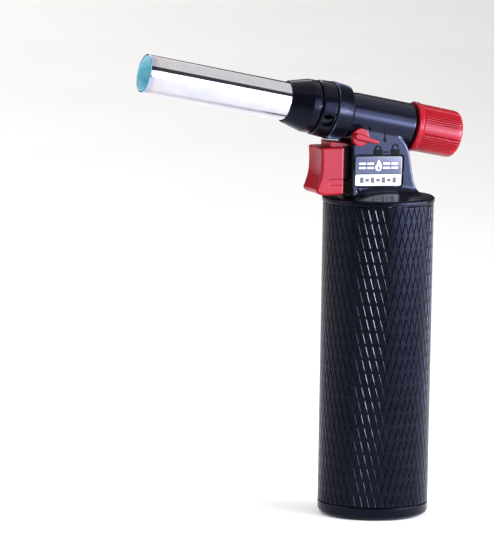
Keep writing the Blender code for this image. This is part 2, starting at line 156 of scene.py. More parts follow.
def surface(
    name,
    colour,
    shade,
    metallic=0.0,
    rough=(0.2, 0.3),
    grain=900.0,
    bump=0.04,
    stretch=None,
    wear=None,
    wear_from=0.54,
    tint=None,
    specular=0.5,
):
    """A finish with patchy colour, grain in its gloss and relief, and wear along its edges."""
    made, tree, shader = graph(name)
    place = tree.nodes.new("ShaderNodeTexCoord").outputs["Object"]
    patches = noise(tree, place, PATCH_SCALE, 4.0)
    fine = noise(tree, place, grain, 5.0, stretch)
    skin = ramp(tree, patches, [(0.3, colour), (0.7, shade)])
    if wear:
        edge = tree.nodes.new("ShaderNodeNewGeometry").outputs["Pointiness"]
        rubbed = ramp(tree, edge, [(wear_from, (0, 0, 0)), (wear_from + 0.05, (1, 1, 1))])
        speckle = ramp(tree, fine, [(0.42, (0, 0, 0)), (0.62, (1, 1, 1))])
        broken = blend(tree, 1.0, rubbed, speckle, "MULTIPLY")
        skin = blend(tree, broken, skin, wear)
    tree.links.new(skin, shader.inputs["Base Color"])
    tree.links.new(remap(tree, fine, *rough), shader.inputs["Roughness"])
    shader.inputs["Metallic"].default_value = metallic
    shader.inputs["Specular IOR Level"].default_value = specular
    if tint:
        shader.inputs["Specular Tint"].default_value = (*tint, 1.0)
    relief = tree.nodes.new("ShaderNodeBump")
    relief.inputs["Strength"].default_value = bump
    relief.inputs["Distance"].default_value = GRAIN_HEIGHT
    tree.links.new(fine, relief.inputs["Height"])
    tree.links.new(relief.outputs["Normal"], shader.inputs["Normal"])
    return made


BLUE_GLOSS = (0.56, 0.62, 1.0)
ANODISED = surface(
    "anodised_aluminium", (0.0016, 0.0016, 0.0034), (0.0036, 0.0036, 0.0068), 0.0, (0.15, 0.24), 1500.0, 0.12,
    (1.0, 1.0, 0.2), tint=BLUE_GLOSS, specular=0.18,
)
CUT_FLANK_PAINTED_HIGHLIGHT = surface(
    "knurl_cut_flank_painted_highlight", (0.002, 0.002, 0.004), (0.006, 0.006, 0.01), 0.0, (0.12, 0.22), 1500.0, 0.12,
    None, tint=(0.86, 0.89, 1.0), specular=0.34,
)
BAND = surface(
    "anodised_band", (0.0016, 0.0016, 0.0034), (0.0036, 0.0036, 0.006), 0.0, (0.14, 0.22), 1100.0, 0.08,
    (0.3, 0.3, 3.0), (0.2, 0.2, 0.24), 0.55, tint=BLUE_GLOSS, specular=0.18,
)
GLOSS_BLACK = surface(
    "black_nylon_gloss", (0.002, 0.002, 0.004), (0.0042, 0.0042, 0.0075), 0.0, (0.19, 0.27), 700.0, 0.08,
    None, (0.06, 0.06, 0.07), 0.57, tint=BLUE_GLOSS, specular=0.36,
)
SATIN_BLACK = surface(
    "black_nylon_satin", (0.004, 0.004, 0.007), (0.008, 0.008, 0.012), 0.0, (0.26, 0.38), 1200.0, 0.2,
    None, (0.08, 0.08, 0.09), 0.57, tint=BLUE_GLOSS, specular=0.3,
)
# Matte black for the moulded lock marks. It is also used as painted shade on the neck's front faces, on the
# trigger's stem behind its pad and on the knurl's groove crossings.
MATTE_BLACK_AND_PAINTED_SHADE = surface(
    "etched_black_nylon_and_painted_shade", (0.004, 0.004, 0.006), (0.007, 0.007, 0.009), 0.0, (0.5, 0.65), 1200.0, 0.3,
    specular=0.08,
)
RED = surface(
    "red_plastic", (0.22, 0.004, 0.009), (0.27, 0.007, 0.013), 0.0, (0.25, 0.36), 900.0, 0.1,
    None, (0.42, 0.04, 0.05), 0.62, tint=(0.8, 0.8, 1.0), specular=0.24,
)
BRASS = surface(
    "turned_brass", (0.62, 0.42, 0.15), (0.74, 0.53, 0.22), 1.0, (0.18, 0.34), 1600.0, 0.2, (0.2, 0.2, 4.0),
    (0.9, 0.72, 0.4), 0.57,
)
BURNT_BRASS = surface(
    "heat_darkened_brass", (0.2, 0.13, 0.08), (0.42, 0.29, 0.13), 1.0, (0.3, 0.5), 1300.0, 0.4, None,
    (0.55, 0.42, 0.25), 0.57,
)
STEEL = surface(
    "bright_steel", (0.5, 0.51, 0.53), (0.62, 0.63, 0.65), 1.0, (0.16, 0.3), 1700.0, 0.2, (3.0, 3.0, 0.3),
    (0.8, 0.8, 0.82), 0.57,
)
ALLOY = surface(
    "drawn_alloy", (0.55, 0.56, 0.58), (0.68, 0.69, 0.71), 1.0, (0.28, 0.42), 900.0, 0.3, (4.0, 4.0, 0.2),
)
CERAMIC = surface("glazed_ceramic", (0.74, 0.72, 0.66), (0.84, 0.82, 0.77), 0.0, (0.3, 0.5), 1100.0, 0.15)
RUBBER = surface("nitrile_rubber", (0.018, 0.018, 0.019), (0.03, 0.03, 0.032), 0.0, (0.55, 0.75), 1500.0, 0.5)
PALE = surface("pale_acetal", (0.68, 0.66, 0.58), (0.78, 0.76, 0.69), 0.0, (0.38, 0.52), 1000.0, 0.2)
DARK = surface("dark_acetal", (0.05, 0.05, 0.056), (0.08, 0.08, 0.09), 0.0, (0.35, 0.5), 1000.0, 0.2)
LABEL_EDGE = surface("label_border", (0.02, 0.022, 0.035), (0.03, 0.033, 0.05), 0.0, (0.2, 0.3), 900.0, 0.05)
LABEL_BLUE = surface(
    "label_slate_film", (0.07, 0.075, 0.13), (0.085, 0.09, 0.15), 0.0, (0.32, 0.42), 1300.0, 0.06,
    specular=0.3,
)
LABEL_WHITE = surface(
    "label_white_film", (0.6, 0.61, 0.63), (0.66, 0.67, 0.69), 0.0, (0.35, 0.46), 1300.0, 0.06,
)
LABEL_INK = surface("label_ink", (0.02, 0.02, 0.03), (0.04, 0.04, 0.05), 0.0, (0.3, 0.45), 1300.0, 0.06)


def chrome():
    """Polished tube with faint polishing lines and heat colours that grow toward the mouth."""
    made, tree, shader = graph("chromed_tube")
    place = tree.nodes.new("ShaderNodeTexCoord").outputs["Object"]
    parts = tree.nodes.new("ShaderNodeSeparateXYZ")
    tree.links.new(place, parts.inputs["Vector"])
    cloud = noise(tree, place, 160.0, 3.0)
    lines = noise(tree, place, 900.0, 4.0, (1.0, 1.0, 0.08))
    along = tree.nodes.new("ShaderNodeMath")
    along.operation = "MULTIPLY_ADD"
    tree.links.new(cloud, along.inputs[0])
    along.inputs[1].default_value = 0.004
    tree.links.new(parts.outputs["Z"], along.inputs[2])
    toward_mouth = remap(tree, along.outputs[0], 0.0, 1.0, (0.080, 0.0995))
    heat = ramp(tree, toward_mouth, [
        (0.0, (0.59, 0.58, 0.615)), (0.6, (0.59, 0.58, 0.605)), (0.82, (0.6, 0.56, 0.52)),
        (0.92, (0.45, 0.41, 0.52)), (1.0, (0.3, 0.5, 0.66)),
    ])
    haze = ramp(tree, cloud, [(0.3, (0.9, 0.9, 0.92)), (0.7, (1, 1, 1))])
    mottled = blend(tree, 1.0, heat, haze, "MULTIPLY")
    tree.links.new(mottled, shader.inputs["Base Color"])
    shader.inputs["Metallic"].default_value = 1.0
    tree.links.new(remap(tree, lines, 0.035, 0.1), shader.inputs["Roughness"])
    relief = tree.nodes.new("ShaderNodeBump")
    relief.inputs["Strength"].default_value = 0.1
    relief.inputs["Distance"].default_value = 0.00002
    tree.links.new(lines, relief.inputs["Height"])
    tree.links.new(relief.outputs["Normal"], shader.inputs["Normal"])
    return made


def bore_blued_and_painted_light():
    """Inside of the mouth, blued by the heat, with painted light: its blues are made light and bright, though
    the bore lies in shade.
    """
    made, tree, shader = graph("bore_heat_blued_and_painted_light")
    place = tree.nodes.new("ShaderNodeTexCoord").outputs["Object"]
    cloud = noise(tree, place, 260.0, 4.0)
    tree.links.new(
        ramp(tree, cloud, [(0.3, (0.3, 0.76, 0.97)), (0.55, (0.48, 0.91, 1.0)), (0.75, (0.74, 0.97, 1.0))]),
        shader.inputs["Base Color"],
    )
    shader.inputs["Metallic"].default_value = 0.15
    tree.links.new(remap(tree, cloud, 0.25, 0.4), shader.inputs["Roughness"])
    return made


CHROME = chrome()
BORE = bore_blued_and_painted_light()


# ---------------------------------------------------------------- mesh tools


def place_piece(name, mesh, look, body, stands_for=(), where=WORLD, sharp=30.0):
    """Links a mesh as a piece that rides on a body, with its look, slot and replaced nodes."""
    for one in look if isinstance(look, (list, tuple)) else [look]:
        mesh.materials.append(one)
    mesh.shade_smooth()
    mesh.set_sharp_from_angle(angle=math.radians(sharp))
    made = bpy.data.objects.new(name, mesh)
    bpy.context.scene.collection.objects.link(made)
    made.matrix_world = where
    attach(made, body)
    if stands_for:
        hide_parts(*stands_for)
    return made


def from_bmesh(name, bm):
    """Closes off a bmesh into a mesh with its faces turned out."""
    bmesh.ops.remove_doubles(bm, verts=bm.verts, dist=1e-7)
    bmesh.ops.recalc_face_normals(bm, faces=bm.faces)
    mesh = bpy.data.meshes.new(name)
    bm.to_mesh(mesh)
    bm.free()
    return mesh


def soften(outline, steps=5):
    """Rounds each corner of a closed outline of (a, b, radius) points."""
    made = []
    for index, point in enumerate(outline):
        here = Vector(point[:2])
        radius = point[2] if len(point) > 2 else 0.0
        back = Vector(outline[index - 1][:2]) - here
        ahead = Vector(outline[(index + 1) % len(outline)][:2]) - here
        if not radius:
            made.append(tuple(here))
            continue
        reach = min(radius / math.tan(back.angle(ahead) / 2.0), 0.48 * min(back.length, ahead.length))
        start, end = here + back.normalized() * reach, here + ahead.normalized() * reach
        for step in range(steps + 1):
            t = step / steps
            made.append(tuple(start * (1 - t) ** 2 + here * (2 * t * (1 - t)) + end * t * t))
    return made


def lathe(name, profile, turns, wave=None, centre=(0.0, 0.0)):
    """A closed profile of (radius, height) turned about Z, at a count or a list of angles."""
    angles = [TAU * k / turns for k in range(turns)] if isinstance(turns, int) else turns
    bm = bmesh.new()
    rings = []
    for angle in angles:
        ring = []
        for radius, height in profile:
            r = radius + (wave(angle, radius, height) if wave else 0.0)
            x, y = centre[0] + r * math.cos(angle), centre[1] + r * math.sin(angle)
            ring.append(bm.verts.new((x * MM, y * MM, height * MM)))
        rings.append(ring)
    for a, b in zip(rings, rings[1:] + rings[:1]):
        for k in range(len(profile)):
            n = (k + 1) % len(profile)
            if profile[k][0] < 1e-6 and profile[n][0] < 1e-6:
                continue
            bm.faces.new((a[k], b[k], b[n], a[n]))
    return from_bmesh(name, bm)


def prism(name, outline, low, high, bevel=0.0):
    """An outline in X and Z made solid between two Y values, with its edges bevelled."""
    bm = bmesh.new()
    ends = [[bm.verts.new((x * MM, y * MM, z * MM)) for x, z in outline] for y in (low, high)]
    for i in range(len(outline)):
        j = (i + 1) % len(outline)
        bm.faces.new((ends[0][i], ends[0][j], ends[1][j], ends[1][i]))
    caps = [bm.faces.new(ends[0]), bm.faces.new(ends[1])]
    bmesh.ops.recalc_face_normals(bm, faces=bm.faces)
    if bevel:
        rims = [edge for cap in caps for edge in cap.edges]
        bmesh.ops.bevel(bm, geom=rims, offset=bevel * MM, segments=3, profile=0.5, affect="EDGES")
    return from_bmesh(name, bm)


def carve(mesh, cutters):
    """Cuts tools out of a mesh and returns the result. A cutter is (mesh, matrix)."""
    target = bpy.data.objects.new("carve_target", mesh)
    bpy.context.scene.collection.objects.link(target)
    helpers = []
    for tool, where in cutters:
        helper = bpy.data.objects.new("carve_tool", tool)
        bpy.context.scene.collection.objects.link(helper)
        helper.matrix_world = where
        step = target.modifiers.new("cut", "BOOLEAN")
        step.operation = "DIFFERENCE"
        step.solver = "EXACT"
        step.object = helper
        helpers.append(helper)
    bpy.context.view_layer.update()
    graph_now = bpy.context.evaluated_depsgraph_get()
    made = bpy.data.meshes.new_from_object(target.evaluated_get(graph_now))
    for helper in helpers + [target]:
        bpy.data.objects.remove(helper)
    return made


def plug(radius, low, high, centre=(0.0, 0.0)):
    """A plain round cutter along Z."""
    return lathe("tool", [(0.0, low), (radius, low), (radius, high), (0.0, high)], 64, centre=centre)


# ---------------------------------------------------------------- shapes from distance fields


def outline_distance(x, z, outline):
    """Signed distance in the plane to a closed outline."""
    best = np.full(np.broadcast(x, z).shape, 1e9)
    inside = np.zeros(best.shape, bool)
    for (ax, az), (bx, bz) in zip(outline, outline[1:] + outline[:1]):
        ex, ez = bx - ax, bz - az
        wx, wz = x - ax, z - az
        t = np.clip((wx * ex + wz * ez) / (ex * ex + ez * ez), 0.0, 1.0)
        best = np.minimum(best, (wx - t * ex) ** 2 + (wz - t * ez) ** 2)
        if az != bz:
            inside ^= ((az > z) != (bz > z)) & (x < ex * (z - az) / ez + ax)
    return np.where(inside, -1.0, 1.0) * np.sqrt(best)


def meet(a, b, r):
    """Where both are solid, with the shared edge rounded."""
    return np.minimum(np.maximum(a, b), -r) + np.hypot(np.maximum(a + r, 0.0), np.maximum(b + r, 0.0))


def join(a, b, r):
    """Where either is solid, with the corner between them filleted."""
    return np.maximum(np.minimum(a, b), r) - np.hypot(np.maximum(r - a, 0.0), np.maximum(r - b, 0.0))


def cut(a, b, r=0.2):
    """The first without the second, with the new edge rounded."""
    return meet(a, -b, r)


def block(x, y, z, low, high):
    """Distance to a box, near enough at its corners."""
    d = None
    for value, lo, hi in zip((x, y, z), low, high):
        one = np.abs(value - 0.5 * (lo + hi)) - 0.5 * (hi - lo)
        d = one if d is None else np.maximum(d, one)
    return d


def net(name, field, low, high, pitch):
    """The zero surface of a distance field as a closed mesh of quads.

    Each cell that the surface crosses gets one point, at the mean of its edges' crossings. Two small
    steps along the field's slope then bring the points onto the surface.
    """
    low, high = np.array(low, float), np.array(high, float)
    count = np.ceil((high - low) / pitch).astype(int) + 1
    axes = [low[k] + pitch * np.arange(count[k]) for k in range(3)]
    d = field(axes[0][:, None, None], axes[1][None, :, None], axes[2][None, None, :])
    d = np.broadcast_to(d, tuple(count))
    solid = d < 0.0
    corner = [
        (slice(i, count[0] - 1 + i), slice(j, count[1] - 1 + j), slice(k, count[2] - 1 + k))
        for i in (0, 1) for j in (0, 1) for k in (0, 1)
    ]
    total = sum(solid[c].astype(np.int8) for c in corner)
    mixed = (total > 0) & (total < 8)
    index = np.full(mixed.shape, -1)
    index[mixed] = np.arange(mixed.sum())
    cell = np.argwhere(mixed)
    offsets = np.array([(i, j, k) for i in (0, 1) for j in (0, 1) for k in (0, 1)])
    values = np.stack([d[c][mixed] for c in corner], 1)
    found = np.zeros((len(cell), 3))
    hits = np.zeros(len(cell))
    for a in range(8):
        for b in range(a + 1, 8):
            if np.abs(offsets[a] - offsets[b]).sum() != 1:
                continue
            crossed = (values[:, a] < 0) != (values[:, b] < 0)
            t = values[crossed, a] / (values[crossed, a] - values[crossed, b])
            found[crossed] += offsets[a] + t[:, None] * (offsets[b] - offsets[a])
            hits[crossed] += 1
    points = low + pitch * (cell + found / hits[:, None])
    probe, least_slope, longest = 0.02, 0.25, 0.3 * pitch
    for _ in range(2):
        here = field(points[:, 0], points[:, 1], points[:, 2])
        slope = np.zeros_like(points)
        for k in range(3):
            ahead = points.copy()
            ahead[:, k] += probe
            slope[:, k] = (field(ahead[:, 0], ahead[:, 1], ahead[:, 2]) - here) / probe
        size = np.maximum((slope**2).sum(1), least_slope)
        move = -here[:, None] * slope / size[:, None]
        points += np.clip(move, -longest, longest)
    faces = []
    for a in range(3):
        b, c = (a + 1) % 3, (a + 2) % 3
        first = [slice(None)] * 3
        second = [slice(None)] * 3
        first[a], second[a] = slice(None, -1), slice(1, None)
        start, end = solid[tuple(first)], solid[tuple(second)]
        spots = np.argwhere(start != end)
        past_low = (spots[:, b] > 0) & (spots[:, c] > 0)
        before_high = (spots[:, b] < count[b] - 1) & (spots[:, c] < count[c] - 1)
        spots = spots[past_low & before_high]
        back_b, back_c = np.zeros(3, int), np.zeros(3, int)
        back_b[b], back_c[c] = 1, 1
        quad = np.stack(
            [index[tuple(s.T)] for s in (spots, spots - back_b, spots - back_b - back_c, spots - back_c)], 1
        )
        outward = start[tuple(spots.T)]
        quad[~outward] = quad[~outward][:, ::-1]
        faces.append(quad)
    faces = np.concatenate(faces)
    mesh = bpy.data.meshes.new(name)
    mesh.from_pydata((points * MM).tolist(), [], faces.tolist())
    mesh.update()
    return mesh


def turned(x, z, angle):
    """A point of the XZ plane in axes turned by an angle."""
    return x * math.cos(angle) - z * math.sin(angle), x * math.sin(angle) + z * math.cos(angle)


def head_axes(x, z):
    """How far up across the barrel and how far toward the nozzle a point is."""
    return x * SIN + (z - HEAD_Z) * COS, -x * COS + (z - HEAD_Z) * SIN


# ---------------------------------------------------------------- handle


def knurled_sleeve():
    """Sleeve cut by two families of fine V grooves that leave long flat diamonds.

    The grooves run along whole numbers of u and v. u + v counts half diamonds around the sleeve and
    u - v half diamonds up it. A groove's half width, edge, is in the same unit.
    """
    around, rows = 50, 11
    edge, depth = 0.1, 0.2
    wall, rim_step = 1.4, 0.45
    height = (KNURL_HIGH - KNURL_LOW) / rows
    steps = (0.0, edge, 0.5, 1.0 - edge)
    bm = bmesh.new()
    made = {}

    def corner(u, v):
        turn = round((u + v) * 1000) % (2 * around * 1000)
        rise = round((u - v) * 1000)
        if (turn, rise) not in made:
            near = min(abs(u - round(u)), abs(v - round(v))) / edge
            radius = GRIP_R - depth * (1.0 - min(near, 1.0))
            angle = TAU * (u + v) / (2 * around)
            z = KNURL_LOW + height * (u - v) / 2.0
            spot = Vector((radius * math.cos(angle), radius * math.sin(angle), z))
            made[(turn, rise)] = bm.verts.new(spot * MM)
        return made[(turn, rise)]

    for rise in range(-1, 2 * rows + 1):
        for turn in range(around):
            first = turn + (rise + 1) // 2
            second = first - rise
            spans = [(s, t) for s, t in zip(steps, steps[1:] + (1.0,))]
            for u0, u1 in spans:
                for v0, v1 in spans:
                    square = ((u0, v0), (u1, v0), (u1, v1), (u0, v1))
                    ring = [corner(first + a, second - 1 + b) for a, b in square]
                    if len(set(ring)) == 4:
                        grooves_here = (u0 == 0.0 or u1 == 1.0) + (v0 == 0.0 or v1 == 1.0)
                        bm.faces.new(ring).material_index = grooves_here
    for level, outward in ((KNURL_LOW, False), (KNURL_HIGH, True)):
        bmesh.ops.bisect_plane(
            bm, geom=bm.verts[:] + bm.edges[:] + bm.faces[:], dist=1e-8, plane_co=(0, 0, level * MM),
            plane_no=(0, 0, 1), clear_outer=outward, clear_inner=not outward,
        )

    def extend(edges, radius, shift):
        """Carries a loop of edges to another radius and height, and returns the new loop."""
        new = bmesh.ops.extrude_edge_only(bm, edges=edges)["geom"]
        for vert in [g for g in new if isinstance(g, bmesh.types.BMVert)]:
            flat = vert.co.xy.normalized() * radius * MM
            vert.co = Vector((flat.x, flat.y, vert.co.z + shift * MM))
        return [g for g in new if isinstance(g, bmesh.types.BMEdge)]

    loops = {}
    for level in (KNURL_LOW, KNURL_HIGH):
        loops[level] = [
            e for e in bm.edges if e.is_boundary and all(abs(v.co.z - level * MM) < 1e-6 for v in e.verts)
        ]
    extend(extend(loops[KNURL_LOW], GRIP_R - rim_step, 0.0), GRIP_R - wall, 0.0)
    top = extend(extend(loops[KNURL_HIGH], GRIP_R - rim_step, 0.0), GRIP_R - wall, 0.0)
    extend(top, GRIP_R - wall, KNURL_LOW - KNURL_HIGH)
    bmesh.ops.remove_doubles(bm, verts=bm.verts, dist=2e-6)
    mesh = from_bmesh("sleeve", bm)
    # Crossings stay at index 2, the matte black, as painted shade. A flank keeps index 1, the bright cut
    # finish, only where it faces up and onward round toward the lamps, as a painted highlight. Every other
    # flank gets the plain anodised finish, though on the real sleeve every flank has the cut finish.
    for face in mesh.polygons:
        if face.material_index == 1:
            middle, normal = face.center, face.normal
            onward = (normal.y * middle.x - normal.x * middle.y) / middle.xy.length
            face.material_index = int(onward > 0.1 and normal.z > 0.02)
    return mesh


place_piece(
    "knurled_grip_sleeve", knurled_sleeve(), (ANODISED, CUT_FLANK_PAINTED_HIGHLIGHT, MATTE_BLACK_AND_PAINTED_SHADE), HANDLE,
    ("grip_sleeve",), sharp=18.0,
)

base_profile = soften([
    (0.0, 0.5), (7.5, 0.5, 0.3), (7.9, 0.0, 0.2), (18.9, 0.0, 0.8), (20.95, 1.4, 1.6), (21.0, 4.75, 0.3),
    (20.6, 5.05, 0.2), (19.2, 5.05, 0.1), (19.2, 6.4, 0.2), (0.0, 6.4),
])
FILLER_HOLE_R = 3.8
base = carve(lathe("base", base_profile, 160), [(plug(FILLER_HOLE_R, -1.0, 20.0, (FILL_X, 0.0)), WORLD)])
place_piece("base_cap_turned", base, BAND, HANDLE, ("base_cap",))

rim_profile = soften([
    (18.9, 119.5), (21.1, 119.5, 0.15), (RIM_R, 119.8, 0.2), (RIM_R, 121.05, 0.35), (20.9, 121.6, 0.25),
    (20.2, 121.6), (20.2, 120.3), (18.9, 120.3),
])
place_piece("rim_ring_turned", lathe("rim", rim_profile, 192), BAND, HANDLE, ("rim_ring",))


# ---------------------------------------------------------------- clamshell head

# Outlines in X and Z of the neck and its hollow, and the dome's turned profile
NECK = [(NECK_FRONT, 120.8), (14.9, 120.8)]
NECK += [(13.2, 123.4), (12.2, 125.4), (11.3, 128.0), (10.9, 130.0), (10.5, 132.0), (10.15, 134.3)]
NECK += [(9.8, 136.5), (9.4, 138.4), (8.9, 140.1), (8.2, 141.6), (7.2, 143.0), (6.1, 144.2), (5.0, 145.2)]
NECK += [(4.0, 149.4), (NECK_FRONT, 153.2)]
DOME = [(0.0, 120.6), (19.9, 120.6), (19.9, 121.5), (18.0, 121.95), (16.0, 122.45), (14.0, 122.95)]
DOME += [(11.5, 123.5), (9.0, 123.95), (5.0, 124.25), (0.0, 124.4)]
HOLLOW = [(-12.3, 119.0), (12.2, 119.0), (10.6, 124.4), (9.4, 128.0), (8.6, 132.0), (7.9, 136.2)]
HOLLOW += [(7.0, 139.4), (5.6, 142.6), (4.2, 147.0), (-12.3, 150.6)]
HOLLOW_HALF = 5.8

# Places in X and Z of the screws, the crank's pin and the small moulding dimples of the near panel
SCREWS = ((-10.5, 125.2), (8.9, 126.2))
CRANK_PIN = (3.2, 123.6)
DIMPLES = ((-11.45, 124.5), (-7.45, 147.7))
DIMPLE_R = 0.62


def housing(side):
    """Distance field of one half of the clamshell: side is -1 near, +1 far."""

    def field(x, y, z):
        """The cover's outer form, less its hollow and holes, cut at the seam."""
        up, along = head_axes(x, z)
        neck = meet(outline_distance(x, z, NECK), np.abs(y) - NECK_HALF, 0.75)
        barrel = meet(np.hypot(up, y) - BARREL_R, np.abs(along - 1.5) - 13.1, 0.45)
        dome = outline_distance(np.hypot(x, y), z, DOME)
        # The foot's fillet fades out at the front, where the trigger moves
        fillet = 2.2 * np.clip((x + 13.0) / 4.0, 0.1, 1.0)
        form = join(join(neck, barrel, 0.35), dome, fillet)
        hollow = np.maximum(outline_distance(x, z, HOLLOW), np.abs(y) - HOLLOW_HALF)
        # Bosses stay around the screws
        for px, pz in SCREWS:
            hollow = np.maximum(hollow, 2.0 - np.hypot(x - px, z - pz))
        valve_room = np.maximum(np.hypot(x, y) - 12.4, np.abs(z - 120.0) - 1.7)
        pin_hole = np.maximum(np.hypot(x - CRANK_PIN[0], z - CRANK_PIN[1]) - 0.9, np.abs(y) - 6.7)
        hollow = np.minimum(hollow, np.hypot(up, y) - BARREL_BORE_R)
        hollow = np.minimum(np.minimum(hollow, valve_room), pin_hole)
        form = cut(form, hollow, 0.15)
        trigger_slot = block(x, y, z, (-20.0, -5.1, 128.2), (-11.0, 5.1, 143.5))
        form = cut(form, trigger_slot, 0.3)
        # Screw holes, with counterbores on the far side
        for px, pz in SCREWS:
            form = cut(form, np.maximum(np.hypot(x - px, z - pz) - 1.3, -5.2 - y), 0.1)
            form = cut(form, np.maximum(np.hypot(x - px, z - pz) - 2.5, 5.6 - y), 0.2)
        # The near half has the label's tray, the lever's pivot hole and two dimples
        if side < 0:
            lx, lz = turned(x - LABEL_X, z - LABEL_Z, LABEL_TURN)
            tray = meet(np.abs(lx) - 9.9, np.abs(lz) - 6.0, 0.9)
            form = cut(form, np.maximum(tray, y + 7.0), 0.12)
            form = cut(form, np.maximum(np.hypot(x - LEVER_X, z - LEVER_Z) - 1.55, y + 5.0), 0.1)
            for px, pz in DIMPLES:
                form = cut(form, np.sqrt((x - px) ** 2 + (z - pz) ** 2 + (y + 7.75) ** 2) - DIMPLE_R, 0.1)
        return meet(form, -side * y + 0.06, 0.22)

    return field


for side, tag, span in ((-1, "near", (-21.0, 0.6)), (1, "far", (-0.6, 21.0))):
    shell = net(f"housing_{tag}", housing(side), (-21.0, span[0], 118.2), (21.0, span[1], 160.6), 0.3)
    # The neck's forward-facing faces around the trigger get the matte black as painted shade. The cover is
    # the same gloss black there.
    for face in shell.polygons:
        at_front = face.center.x < -12.0 * MM and face.center.z < 144.5 * MM
        face.material_index = int(at_front and face.normal.x < -0.8)
    place_piece(
        f"housing_{tag}_shell", shell, (GLOSS_BLACK, MATTE_BLACK_AND_PAINTED_SHADE), HANDLE,
        (f"housing_{tag}",), sharp=50.0,
    )

# Moulded lock mark on the near panel: a shut and an open padlock with a bar between and an arrow above
PANEL = -NECK_HALF
MARK_SUNK, MARK_PROUD = 0.15, 0.26


def rounded(left, right, low, high, radius, steps=5):
    """Outline of a rectangle with rounded corners."""
    corners = ((left, low), (right, low), (right, high), (left, high))
    return soften([(across, up, radius) for across, up in corners], steps)


LOCK_AT = {"closed": -3.6, "open": 3.4}


def shackle_outline(at, top, right_foot):
    """The bent bar of a padlock around x = at; its right leg stops at right_foot."""
    half_turn = [math.pi * k / 12 for k in range(13)]
    bar = [(1.35, right_foot)] + [(1.35 * math.cos(t), top + 1.3 * math.sin(t)) for t in half_turn]
    bar += [(-1.35, 139.9), (-0.85, 139.9)]
    bar += [(0.85 * math.cos(t), top + 0.8 * math.sin(t)) for t in reversed(half_turn)] + [(0.85, right_foot)]
    return [(x + at, z) for x, z in bar]


marks = []
for state, at in LOCK_AT.items():
    marks.append((f"lock_mark_{state}_body", rounded(at - 1.8, at + 1.8, 137.85, 140.0, 0.3)))
    top, right_foot = (140.2, 139.9) if state == "closed" else (140.75, 140.45)
    marks.append((f"lock_mark_{state}_shackle", shackle_outline(at, top, right_foot)))
arrow = [(-1.07, 147.2), (-1.07, 143.9), (-1.75, 143.9), (-0.85, 142.6), (0.05, 143.9), (-0.63, 143.9)]
marks.append(("lock_mark_arrow", arrow + [(-0.63, 147.2)]))
marks.append(("lock_mark_bar", rounded(-1.2, 1.0, 138.7, 139.15, 0.15)))
for name, outline in marks:
    mark = prism(name, outline, PANEL - MARK_PROUD, PANEL + MARK_SUNK, 0.08)
    place_piece(name, mark, MATTE_BLACK_AND_PAINTED_SHADE, HANDLE)


# ---------------------------------------------------------------- label


def label_piece(name, outline, outer, inner, look, bevel=0.0, stands_for=()):
    """A flat piece of the label between two depths, where negative is outward."""
    mesh = prism("label", outline, outer, inner, bevel)
    place_piece(name, mesh, look, HANDLE, stands_for, LABEL_FRAME)


# Dark border, slate upper field and white lower field
backing = rounded(-9.6, 9.6, -5.7, 5.7, 0.9)
label_piece("label_backing", backing, 0.02, 0.3, LABEL_EDGE, 0.06, ("label_plate",))
label_piece("label_slate_field", rounded(-9.25, 9.25, -0.85, 5.35, 0.6), -0.03, 0.05, LABEL_BLUE, 0.02)
label_piece("label_white_field", rounded(-9.25, 9.25, -5.35, -1.15, 0.6), -0.03, 0.05, LABEL_WHITE, 0.02)

# Plain flame with bars beside it, above, and a row of blocks below
flame = [(0.0, 4.5), (0.95, 3.1), (1.35, 1.95), (1.2, 0.95), (0.6, 0.3), (0.0, 0.15), (-0.6, 0.3)]
flame += [(-1.2, 0.95), (-1.3, 1.9), (-0.8, 2.6), (-0.55, 3.4)]
flame_core = [(0.0, 2.3), (0.45, 1.5), (0.5, 1.0), (0.0, 0.6), (-0.5, 1.0), (-0.4, 1.6)]
label_piece("label_mark_flame", flame, -0.06, -0.02, LABEL_WHITE)
label_piece("label_mark_flame_core", flame_core, -0.08, -0.05, LABEL_BLUE)
for index, (left, right) in enumerate([(-7.9, -5.2), (-4.6, -1.9), (1.9, 4.6), (5.2, 7.9)], 1):
    for row, (low, high) in enumerate(((1.0, 1.75), (2.6, 3.35)), 1):
        bar = rounded(left, right, low, high, 0.2, 3)
        label_piece(f"label_bar_{index}_{row}", bar, -0.05, -0.02, LABEL_WHITE)
TICK_MIDDLE, TICK_WIDTH = -3.25, 1.5
for index, left in enumerate((-7.4, -5.2, -3.0, -0.8, 1.4, 3.6, 5.8), 1):
    tall = 1.05 if index % 2 else 0.6
    tick = rounded(left, left + TICK_WIDTH, TICK_MIDDLE - tall, TICK_MIDDLE + tall, 0.15, 3)
    label_piece(f"label_tick_{index}", tick, -0.05, -0.02, LABEL_INK)


# ---------------------------------------------------------------- trigger and lock lever

# Outlines in X and Z of the finger pad, the block behind it and the ledge at the pad's foot
PAD = [(-25.4, 141.0), (-25.9, 140.9), (-26.2, 140.6), (-26.25, 140.1), (-26.15, 139.4), (-26.05, 137.6)]
PAD += [(-26.0, 135.8), (-26.02, 134.0), (-26.12, 132.3)]
PAD += [(-26.35, 130.6), (-26.75, 129.0), (-27.2, 127.6), (-27.65, 126.4), (-28.0, 125.5), (-28.1, 125.1)]
PAD += [(-27.95, 124.5), (-27.4, 123.8), (-26.5, 123.3), (-25.2, 123.0), (-17.6, 123.0), (-17.0, 123.6)]
PAD += [(-17.0, 140.5), (-17.4, 141.0)]
STEM = [(-22.0, 138.0), (-18.0, 138.0), (-18.0, 128.6), (-7.0, 128.6), (-7.0, 142.0), (-14.0, 142.3)]
STEM += [(-22.0, 143.1)]
LEDGE = [(-23.1, 127.2), (-22.4, 126.7), (-16.0, 126.7), (-16.0, 128.9), (-22.0, 128.9), (-22.9, 128.4)]


